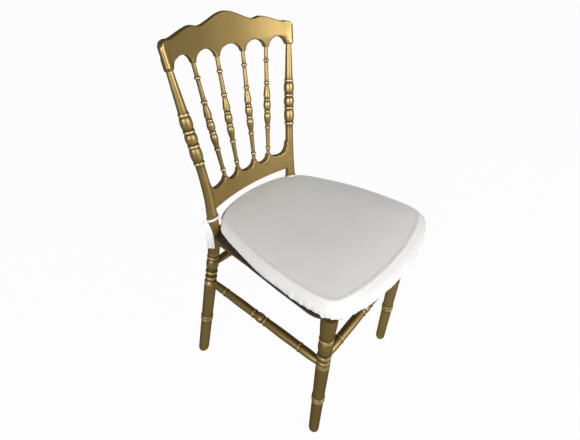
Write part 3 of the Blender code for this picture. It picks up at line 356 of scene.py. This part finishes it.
bare_wood, wood, place = new_finish("bare_wood")
along_grain = place.node("Mapping", {}, {"Vector": place, "Scale": (1.0, 9.0, 9.0)})
streaks = along_grain.cloud(60.0, 5.0)
feed(wood, Base_Color=streaks.between(0.30, 0.70).colours((0.50, 0.34, 0.19), (0.36, 0.22, 0.11)),
     Roughness=0.62 + streaks * 0.20,
     Normal=place.node("Bump", {}, {"Strength": 0.2, "Distance": 0.0005, "Height": streaks}))
zinc_steel, zinc, place = new_finish("zinc_steel")
zinc.inputs["Metallic"].default_value = 1.0
spangle = place.cloud(700.0, 2.0)
feed(zinc, Base_Color=spangle.between(0.35, 0.65).colours((0.62, 0.63, 0.64), (0.48, 0.49, 0.50)),
     Roughness=0.28 + spangle * 0.20)
for name in ("front", "rear", "left", "right"):
    soften(f"seat_rail_{name}", gold_paint, 0.0016)
for end in ("front", "rear"):
    for hand in ("left", "right"):
        soften(f"corner_block_{end}_{hand}", bare_wood, 0.0008)
        soften(f"corner_bolt_{end}_{hand}", zinc_steel, 0.0004)

# Foot glides
# A small dark nylon button is nailed under each foot and carries the chair on the floor. It is
# moulded, with a rounded rim, and scuffed pale where it slides.
dark_nylon, nylon, place = new_finish("nylon")
scuffs = place.cloud(500.0, 4.0)
feed(nylon, Base_Color=scuffs.between(0.50, 0.72).colours((0.030, 0.028, 0.026), (0.10, 0.095, 0.09)),
     Roughness=0.42 + scuffs * 0.30)
for end in ("front", "rear"):
    for hand in ("left", "right"):
        soften(f"foot_glide_{end}_{hand}", dark_nylon, 0.0006)

# Lower back rail
# A scalloped board joins the posts above the cushion and carries the feet of the spindles on its
# points. It is sawn to shape, bowed with the back, rounded over on its edges and painted.
BACK_BOW = 0.0246
RAIL_LOW = SEAT_TOP + 0.0720
RAIL_PEAK = RAIL_LOW + 0.0595
RAIL_THICK = 0.0150
RAIL_POINT = 0.0050
RAIL_DIP = 0.0160
OUTER_DIP = 0.0128
CURL = 0.0250
SPINDLE_FEET = (-0.0808, -0.0302, 0.0302, 0.0808)


def back_y(x, z):
    """Middle surface of the back: raked, bowed, and running out on the posts' centre lines."""
    edge = post_line(z)
    middle = POST_NECK.y + BACK_SLOPE.y * (z - POST_NECK.z) + BACK_BOW
    return middle - (middle - edge.y) * (x / edge.x) ** 2


def bay(start, end, steps=24):
    """Places over a round bay with their unit height, closer together at its steep ends."""
    middle, half = (start + end) / 2, (end - start) / 2
    turns = [math.pi * i / steps for i in range(steps + 1)]
    return [(middle - half * math.cos(a), math.sin(a)) for a in turns]


def back_board(stations, thickness_at, rows=14):
    """A board on the back's surface, cut to (x, lower height, upper height) stations."""
    plank = bmesh.new()
    last = len(stations) - 1
    bmesh.ops.create_grid(plank, x_segments=last, y_segments=rows, size=0.5)
    for vert in plank.verts:
        x, low, high = stations[round((vert.co.x + 0.5) * last)]
        z = low + (high - low) * (vert.co.y + 0.5)
        vert.co = Vector((x, back_y(x, z) - thickness_at(x, z) / 2, z))
    for made in bmesh.ops.extrude_face_region(plank, geom=plank.faces[:])["geom"]:
        if isinstance(made, bmesh.types.BMVert):
            made.co.y += thickness_at(made.co.x, made.co.z)
    bmesh.ops.recalc_face_normals(plank, faces=plank.faces)
    return plank


def remeshed(shape, voxel):
    """The same shape in even small faces, with overlapping bodies made one."""
    mesh = bpy.data.meshes.new("blank")
    shape.to_mesh(mesh)
    shape.free()
    blank = bpy.data.objects.new("blank", mesh)
    bpy.context.collection.objects.link(blank)
    even = blank.modifiers.new("even", "REMESH")
    even.mode = "VOXEL"
    even.voxel_size = voxel
    done = blank.evaluated_get(bpy.context.evaluated_depsgraph_get())
    result = bmesh.new()
    result.from_mesh(done.to_mesh())
    done.to_mesh_clear()
    bpy.data.objects.remove(blank)
    bpy.data.meshes.remove(mesh)
    return result


def sanded(shape, passes, verts=None):
    """Rounds the edges over evenly, all over or at some places only."""
    for _ in range(passes):
        bmesh.ops.smooth_vert(shape, verts=verts or shape.verts, factor=0.5, use_axis_x=True,
                              use_axis_y=True, use_axis_z=True)
    return shape


rail_end = post_line((RAIL_LOW + RAIL_PEAK) / 2).x
hollow_x = rail_end - BACK - CURL
hollow_z = RAIL_PEAK - OUTER_DIP
outer_run = hollow_x - SPINDLE_FEET[3] - RAIL_POINT
right_end = [(SPINDLE_FEET[3], RAIL_LOW, RAIL_PEAK)]
for i in range(13):
    a = math.pi / 2 * (1 - i / 12)
    right_end.append((hollow_x - outer_run * math.sin(a), RAIL_LOW,
                      hollow_z + OUTER_DIP * (1 - math.cos(a))))
for i in range(1, 13):
    a = math.pi / 2 * i / 12
    right_end.append((hollow_x + CURL * math.sin(a), RAIL_LOW, hollow_z + CURL * (1 - math.cos(a))))
right_end += [(rail_end - 0.0070, RAIL_LOW, hollow_z + 0.0340), (rail_end, RAIL_LOW, hollow_z + 0.0360)]
stations = [(-x, low, high) for x, low, high in reversed(right_end)]
for left_foot, right_foot in zip(SPINDLE_FEET, SPINDLE_FEET[1:]):
    stations += [(x, RAIL_LOW, RAIL_PEAK - RAIL_DIP * dip)
                 for x, dip in bay(left_foot + RAIL_POINT, right_foot - RAIL_POINT)]
    stations.append((right_foot, RAIL_LOW, RAIL_PEAK))
stations += right_end[1:]
lower_rail = sanded(remeshed(back_board(stations, lambda x, z: RAIL_THICK), 0.0012), 5)
add_piece("scalloped_rail", lower_rail, gold_paint, "gold_paint", "lower_back_rail")

# Crest rail
# A waved board with five round arches below, bowed with the back. At each end it swells into a
# round socket that is pushed over the post's top. The edges are rounded over and painted gold.
DROP = POST_HEAD.z + 0.0018
CREST_THICK = 0.0130
CREST_END = POST_HEAD.x + 0.0155
CORNER = 0.0215
ARCH = 0.0217
CREST_POINT = 0.0060
SOCKET = 0.0102
SOCKET_TOP = POST_HEAD.z + 0.0330
SOCKET_DOME = 0.0120
SWELL_FROM = 0.040
SPINDLE_HEADS = (-0.1128, -0.0402, 0.0402, 0.1128)
wave = ((0.0, 0.0887), (0.0770, 0.0674), (0.1060, 0.0704), (0.1660, 0.0542), (CREST_END - CORNER, 0.0548))


def crest_top(x):
    """Height of the waved top edge: crown, dip, hump, dip and a round corner."""
    x = abs(x)
    if x > wave[-1][0]:
        return DROP + wave[-1][1] - CORNER + math.sqrt(max(0.0, CORNER ** 2 - (x - wave[-1][0]) ** 2))
    slopes = [0.0] * len(wave)
    for i in range(1, len(wave) - 1):
        slopes[i] = (wave[i + 1][1] - wave[i - 1][1]) / (wave[i + 1][0] - wave[i - 1][0])
    i = max(k for k in range(len(wave) - 1) if wave[k][0] <= x)
    (x0, z0), (x1, z1) = wave[i], wave[i + 1]
    return DROP + eased(z0, slopes[i], z1, slopes[i + 1], x1 - x0, (x - x0) / (x1 - x0))


def joined(*shapes):
    """Several shapes in one mesh."""
    whole = bmesh.new()
    carrier = bpy.data.meshes.new("carrier")
    for shape in shapes:
        shape.to_mesh(carrier)
        shape.free()
        whole.from_mesh(carrier)
    bpy.data.meshes.remove(carrier)
    return whole


def crest_thickness(x, z):
    """The board swells to its sockets above the arches and is rounded off at its ends."""
    x, round_from = abs(x), CREST_END - SOCKET
    if x > round_from:
        return 2 * math.sqrt(max(1e-6, SOCKET ** 2 - (x - round_from) ** 2))
    t = max(0.0, (x - SWELL_FROM) / (round_from - SWELL_FROM))
    swell = t * t * (3 - 2 * t) * min(1.0, max(0.0, (z - DROP) / 0.022))
    return CREST_THICK + (1.9 * SOCKET - CREST_THICK) * swell


right_end = [(CREST_END - CORNER * share, DROP + 0.0030, crest_top(CREST_END - CORNER * share))
             for share in (0.90, 0.75, 0.60, 0.45, 0.30, 0.18, 0.10, 0.05, 0.02)]
stations = [(-x, low, high) for x, low, high in reversed(right_end)]
edges = [-(POST_HEAD.x - SOCKET)]
for x in SPINDLE_HEADS:
    edges += [x - CREST_POINT, x + CREST_POINT]
edges.append(POST_HEAD.x - SOCKET)
for start, end in zip(edges[::2], edges[1::2]):
    stations += [(x, DROP + ARCH * rise, crest_top(x)) for x, rise in bay(start, end)]
    if end != edges[-1]:
        stations.append((end + CREST_POINT, DROP, crest_top(end + CREST_POINT)))
stations += right_end
crest_board = back_board(stations, crest_thickness)
for vert in crest_board.verts:
    share = min(1.0, max(0.0, (abs(vert.co.x) - POST_HEAD.x + SOCKET) / 0.010))
    vert.co.x -= math.copysign(share * BACK_SLOPE.x * (head + 0.0460 - vert.co.z), vert.co.x)
dome = SOCKET_TOP - SOCKET_DOME
socket_profile = [(head, 0), (head, 0.0088), (head + 0.0016, SOCKET), (dome, SOCKET)]
socket_profile += [(dome + SOCKET_DOME * math.sin(math.pi / 2 * i / 8),
                    SOCKET * math.cos(math.pi / 2 * i / 8)) for i in range(1, 9)]
sockets = []
for side in (-1, 1):
    socket = turned(socket_profile, 32)
    lean_along(socket, lambda z: post_line(z, side), head - 0.030)
    bmesh.ops.recalc_face_normals(socket, faces=socket.faces)
    sockets.append(socket)
crest_rail = sanded(remeshed(joined(crest_board, *sockets), 0.0012), 6)
near_sockets = [vert for vert in crest_rail.verts
                if abs(vert.co.x) > POST_HEAD.x - 0.020 and head + 0.010 < vert.co.z < head + 0.050]
sanded(crest_rail, 10, near_sockets)
add_piece("waved_crest", crest_rail, gold_paint, "gold_paint", "crest_rail")

# Spindles
# Four slim turned spindles fan out between the two back rails: a plain neck with a ring at each
# end, and a ball between two vases in the middle. Round tenons hold them in the rails.
THIN = 0.0050
BALL = 0.0096


def flowing(points, steps=6):
    """Smooth profile through (height, radius) points that lie in order."""
    slopes = [0.0] * len(points)
    for i in range(1, len(points) - 1):
        slopes[i] = (points[i + 1][1] - points[i - 1][1]) / (points[i + 1][0] - points[i - 1][0])
    line = [points[0]]
    for i, ((z0, r0), (z1, r1)) in enumerate(zip(points, points[1:])):
        for step in range(1, steps + 1):
            t = step / steps
            line.append((z0 + (z1 - z0) * t, eased(r0, slopes[i], r1, slopes[i + 1], z1 - z0, t)))
    return line


def spindle_profile(length):
    """Turned profile of a spindle between the two rails."""
    half = 0.0032
    lower_vase = [(0.266 * length + half, THIN + 0.0010), (0.300 * length, THIN + 0.0013),
                  (0.340 * length, THIN + 0.0032), (0.380 * length, BALL - 0.0004),
                  (0.400 * length, BALL - 0.0014), (0.423 * length - half, THIN + 0.0018)]
    upper_vase = [(0.532 * length + half, THIN + 0.0018), (0.556 * length, BALL - 0.0012),
                  (0.576 * length, BALL - 0.0006), (0.620 * length, THIN + 0.0026),
                  (0.668 * length, THIN + 0.0006), (0.690 * length - half, THIN + 0.0005)]
    return [
        (-0.004, 0), (-0.004, THIN), (0.0, THIN), *ring(0.065 * length, half, THIN + 0.0020, THIN),
        (0.225 * length, THIN + 0.0008), *ring(0.266 * length, half, THIN + 0.0029, THIN + 0.0010),
        *flowing(lower_vase)[1:-1], *ring(0.423 * length, half, BALL - 0.0010, THIN + 0.0018),
        *ring(0.482 * length, 0.0110, BALL + 0.0001, THIN + 0.0018, 14),
        *ring(0.532 * length, half, BALL - 0.0010, THIN + 0.0018), *flowing(upper_vase)[1:-1],
        *ring(0.690 * length, half, THIN + 0.0028, THIN + 0.0005), (0.850 * length, THIN - 0.0002),
        *ring(0.886 * length, half, THIN + 0.0024, THIN - 0.0002), (length, THIN - 0.0002),
        (length + 0.004, THIN - 0.0002), (length + 0.004, 0),
    ]


for number, (foot_x, head_x) in enumerate(zip(SPINDLE_FEET, SPINDLE_HEADS), start=1):
    foot = Vector((foot_x, back_y(foot_x, RAIL_PEAK), RAIL_PEAK))
    tip = Vector((head_x, back_y(head_x, DROP), DROP))
    spindle = turned(spindle_profile((tip - foot).length), 36)
    lay_between(spindle, foot, tip)
    add_piece(f"spindle_{number}", spindle, gold_paint, "gold_paint", f"back_spindle_{number}")

# Seat panel
# A plywood board lies on the rails, notched round the posts and screwed on from below. It is stained
# dark, made near black as painted shade under the cushion, and only its rim shows under the cushion.
dark_stain_and_shade_plywood, plywood, place = new_finish("plywood")
along_grain = place.node("Mapping", {}, {"Vector": place, "Scale": (1.0, 7.0, 1.0)})
figure = along_grain.cloud(34.0, 6.0)
height_in_panel = place.node("SeparateXYZ", {}, {0: place}, "Z")
plies = place.node("Math", {"operation": "SINE"}, {0: height_in_panel * 3900.0})
# A dark brown stain, taken nearly to black as painted shade for the shadow under the cushion.
stain_and_shade = figure.between(0.32, 0.68).colours((0.046, 0.028, 0.013), (0.022, 0.013, 0.007))
feed(plywood, Base_Color=(plies * 0.25 + 0.25).colours(stain_and_shade, (0.070, 0.047, 0.024)),
     Roughness=0.48 + figure * 0.22,
     Normal=place.node("Bump", {}, {"Strength": 0.15, "Distance": 0.0004, "Height": figure}))
soften("seat_panel", dark_stain_and_shade_plywood, 0.0010)
for end in ("front", "rear"):
    for hand in ("left", "right"):
        soften(f"panel_screw_{end}_{hand}", zinc_steel, 0.0003)

# Seat cushion
# A loose boxed pad of foam in a white cotton cover, sewn with a crisp seam round its top and pulled
# in at its lower edge, where it gathers at the front left. The foam draws the cloth tight, so the pad
# is blown up in a cover of its size.
PAD_LOW = SEAT_TOP + 0.0070
SEAM = PAD_LOW + 0.0400
SEAM_RIDGE = 0.0024
GATHER = 0.0052
SWELL_LIMIT = 0.005
white_cotton, cotton, place = new_finish("white_cloth")
cotton.inputs["Sheen Weight"].default_value = 0.25
cotton.inputs["Sheen Roughness"].default_value = 0.45
cotton.inputs["Specular IOR Level"].default_value = 0.25
threads = place.node("VectorMath", {"operation": "SCALE"}, {0: place, "Scale": 2 * math.pi / 0.0011})
axes = [threads.node("SeparateXYZ", {}, {0: threads}, axis) for axis in "XYZ"]
waves = [axis.node("Math", {"operation": "SINE"}, {0: axis}) for axis in axes]
weave = waves[0] * waves[1] + waves[1] * waves[2] + waves[2] * waves[0]
rumple = place.cloud(24.0, 4.0)
washed = rumple.between(0.25, 0.75).colours((0.80, 0.79, 0.78), (0.77, 0.76, 0.75))
drawn = place.node("Attribute", {"attribute_name": "gather"}, {}, "Fac")
creases = place.node("Mapping", {}, {"Vector": place, "Scale": (1.0, 1.0, 0.35)}).cloud(105.0, 2.0)
feed(cotton, Base_Color=(weave * 0.06 + 0.06).colours(washed, (0.62, 0.61, 0.59)),
     Roughness=0.86 + rumple * 0.10,
     Normal=place.node("Bump", {}, {"Strength": 0.25, "Distance": 0.0010,
                                    "Height": rumple + weave * 0.05 + creases * drawn * 12.0}))
pad = bmesh.new()
pad.from_mesh(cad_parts["seat_cushion"].data)
bmesh.ops.remove_doubles(pad, verts=pad.verts, dist=0.00001)
bmesh.ops.recalc_face_normals(pad, faces=pad.faces)
pad_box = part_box("seat_cushion")
for vert in pad.verts:
    if SEAM - 0.0080 < vert.co.z < SEAM - 0.0030:
        vert.co.z -= 0.0035 * max(0.0, vert.co.y / pad_box[0].y)
seam_edges = [edge for edge in pad.edges if all(abs(vert.co.z - SEAM) < 0.0005 for vert in edge.verts)]
bmesh.ops.subdivide_edges(pad, edges=seam_edges, cuts=6)
seam = [vert.co.copy() for vert in pad.verts if abs(vert.co.z - SEAM) < 0.0005]
seam_places = kdtree.KDTree(len(seam))
for i, point in enumerate(seam):
    seam_places.insert(point, i)
seam_places.balance()
cushion = add_piece("white_cushion", remeshed(pad, 0.0045), white_cotton, "white_cloth", "seat_cushion")
at_rest = [vert.co.copy() for vert in cushion.data.vertices]
held = cushion.vertex_groups.new(name="held")
sewn = [i for i, point in enumerate(at_rest)
        if point.z < PAD_LOW + 0.002 or seam_places.find(point)[2] < 0.0030]
held.add(sewn, 1.0, "REPLACE")
cloth = cushion.modifiers.new("cloth", "CLOTH")
cloth.settings.vertex_group_mass = "held"
cloth.settings.use_pressure = True
cloth.settings.uniform_pressure_force = 4.0
cloth.settings.effector_weights.gravity = 0.0
for moment in range(1, 21):
    bpy.context.scene.frame_set(moment)
blown = cushion.evaluated_get(bpy.context.evaluated_depsgraph_get()).data
swell = [after.co - before for after, before in zip(blown.vertices, at_rest)]
cushion.modifiers.remove(cloth)
cushion.vertex_groups.remove(held)
for vert, before, moved in zip(cushion.data.vertices, at_rest, swell):
    vert.co = before + moved * min(1.0, SWELL_LIMIT / max(moved.length, 1e-6))
bpy.context.scene.frame_set(1)
gathered_corner = Vector((pad_box[0].x, pad_box[0].y + 0.080, PAD_LOW))
gather = cushion.data.attributes.new("gather", "FLOAT", "POINT")
for vert in cushion.data.vertices:
    band = max(0.0, 1 - abs(vert.co.z - PAD_LOW - 0.010) / 0.020)
    near = max(0.20, 1 - (vert.co - gathered_corner).length / 0.180)
    pleat = 2.4 * abs(noise.noise(Vector((vert.co.x * 90, vert.co.y * 90, vert.co.z * 30)))) - 0.6
    gather.data[vert.index].value = band * near
    ridge = max(0.0, 1 - seam_places.find(vert.co)[2] / 0.0060)
    vert.co += vert.normal * (GATHER * band * near * pleat + SEAM_RIDGE * ridge ** 2)
smooth = cushion.modifiers.new("smooth", "SUBSURF")
smooth.levels = smooth.render_levels = 1

# Cushion ties
# A narrow tape of the cover's cotton is sewn to each rear corner of the cushion. It is led round the
# post and knotted at its outer side, with one long tail hanging in front and one short end.
TAIL_WIDTH = 0.0188
TAIL_LENGTH = 0.0720
TAPE_HALF = 0.0030
BAND = 0.0162
KNOT = 0.0050
KNOT_OUT = 0.0195
KNOT_TURN = math.radians(16)
SEWN_TURN = math.radians(-110)
TAIL_TURN = math.radians(-28)


def out_from_post(side, turn):
    """Direction away from a post, by its turn from straight out to the side towards the rear."""
    return Vector((side * math.cos(turn), math.sin(turn), 0))


def tape(path, edges, crease=0.0):
    """A strip of cloth along a path, as wide as its edge at each point, creased towards its end."""
    strip = bmesh.new()
    last = len(path) - 1
    bmesh.ops.create_grid(strip, x_segments=last, y_segments=12, size=1.0)
    for vert in strip.verts:
        step, across = round((vert.co.x + 1) / 2 * last), vert.co.y
        ahead = path[min(step + 1, last)] - path[max(step - 1, 0)]
        rise = crease * (math.sin(6.0 * across + 0.6) + 0.5 * math.sin(13.0 * across + 0.1 * step))
        vert.co = path[step] + edges[step] * across + ahead.cross(edges[step]).normalized() * rise
    bmesh.ops.remove_doubles(strip, verts=strip.verts, dist=0.00005)
    bmesh.ops.recalc_face_normals(strip, faces=strip.faces)
    bmesh.ops.solidify(strip, geom=strip.faces[:], thickness=0.0010)
    return strip


for side, hand, height in ((-1, "left", 0.4735), (1, "right", 0.4640)):
    post_here = post_line(height, side)
    turns = [math.tau * i / 64 for i in range(65)]
    band = [post_here + out_from_post(side, turn) * BAND
            + Vector((0, 0, 0.0060 * math.cos(turn - SEWN_TURN))) for turn in turns]
    corner = min((vert.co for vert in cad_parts["seat_cushion"].data.vertices
                  if vert.co.z > PAD_LOW + 0.030), key=lambda point: (point - post_here).length)
    sewn = min(band, key=lambda point: (point - corner).length)
    lead = [sewn.lerp(corner, i / 8 * 1.15) for i in range(9)]
    knot_at = post_here + out_from_post(side, KNOT_TURN) * KNOT_OUT - Vector((0, 0, 0.0050))
    upwards = Vector((-side * 0.0020, 0.0065, 0.0370))
    end = [knot_at + upwards * i / 16 for i in range(17)]
    end_edge = out_from_post(side, math.radians(37)) * 0.0042
    end_edges = [end_edge * (1 - 0.92 * (i / 16) ** 2) for i in range(17)]
    knot = bmesh.new()
    bmesh.ops.create_uvsphere(knot, u_segments=28, v_segments=18, radius=KNOT)
    for vert in knot.verts:
        turn = math.atan2(vert.co.y, vert.co.x)
        vert.co *= 1 + 0.10 * math.sin(5 * turn + 3.0 * vert.co.z / KNOT)
    bmesh.ops.translate(knot, vec=knot_at, verts=knot.verts)
    upright = Vector((0, 0, TAPE_HALF))
    whole = joined(tape(band, [upright] * len(band)), tape(lead, [upright] * len(lead)),
                   tape(end, end_edges, 0.0004), knot)
    tie = add_piece(f"tie_{hand}", whole, white_cotton, "white_cloth", f"cushion_tie_{hand}")
    tail, tail_edges = [], []
    for i in range(31):
        hung = i / 30
        z = knot_at.z - TAIL_LENGTH * hung
        turn = KNOT_TURN + (TAIL_TURN - KNOT_TURN) * hung ** 0.4
        tail.append(post_line(z, side) + out_from_post(side, turn) * (KNOT_OUT + 0.0010 * hung))
        spread = TAIL_WIDTH / 2 * (0.35 + 0.65 * min(1.0, hung / 0.45) ** 0.6)
        tail_edges.append(out_from_post(side, math.radians(52)) * spread)
    tail_piece = add_piece(f"tie_tail_{hand}", tape(tail, tail_edges, 0.0006), white_cotton, "white_cloth")

# Floor and light
# The chair stands on a plain white floor, lit by a broad lamp in front and one at its left side. The
# floor shows white to the camera, and the gold paint mirrors a dim one that is lighter to the right.
floor_shape = bmesh.new()
bmesh.ops.create_grid(floor_shape, x_segments=1, y_segments=1, size=40.0)
floor_mesh = bpy.data.meshes.new("floor")
floor_shape.to_mesh(floor_mesh)
floor_shape.free()
floor = bpy.data.objects.new("floor", floor_mesh)
bpy.context.collection.objects.link(floor)
white_floor, paint, place = new_finish("white_floor")
paint.inputs["Base Color"].default_value = (0.45, 0.45, 0.45, 1)
paint.inputs["Roughness"].default_value = 0.9
rays = [place.node("LightPath", {}, {}, f"Is {ray} Ray") for ray in ("Camera", "Glossy", "Transmission")]
to_the_right = place.node("SeparateXYZ", {}, {0: place}, "X").between(-0.9, 0.7)
seen = (rays[0] + rays[1] + rays[2]) * 0.97
glow = place.node("Emission", {}, {"Color": 1.0 - rays[1] * (0.84 - to_the_right * 0.34), "Strength": 1.0})
painted = Shade(white_floor.node_tree, paint.outputs[0])
look = place.node("MixShader", {}, {0: seen, 1: painted, 2: glow})
surface = white_floor.node_tree.nodes["Material Output"].inputs["Surface"]
white_floor.node_tree.links.new(look.socket, surface)
floor_mesh.materials.append(white_floor)

sky = bpy.data.worlds.new("studio")
sky.use_nodes = True
sky.node_tree.nodes["Background"].inputs["Color"].default_value = (1.0, 0.99, 0.97, 1)
sky.node_tree.nodes["Background"].inputs["Strength"].default_value = 0.165
bpy.context.scene.world = sky
for name, spot, power, size in (
    ("front_lamp", Vector((0.3, -2.7, 1.55)), 64.0, 1.4),
    ("side_lamp", Vector((-2.6, -0.8, 1.45)), 62.0, 1.0),
):
    lamp = bpy.data.objects.new(name, bpy.data.lights.new(name, "AREA"))
    lamp.data.energy = power
    lamp.data.size = size
    lamp.location = spot
    lamp.rotation_euler = (Vector((0, 0, 0.45)) - spot).to_track_quat("-Z", "Y").to_euler()
    bpy.context.collection.objects.link(lamp)
bpy.context.scene.view_settings.view_transform = "Standard"
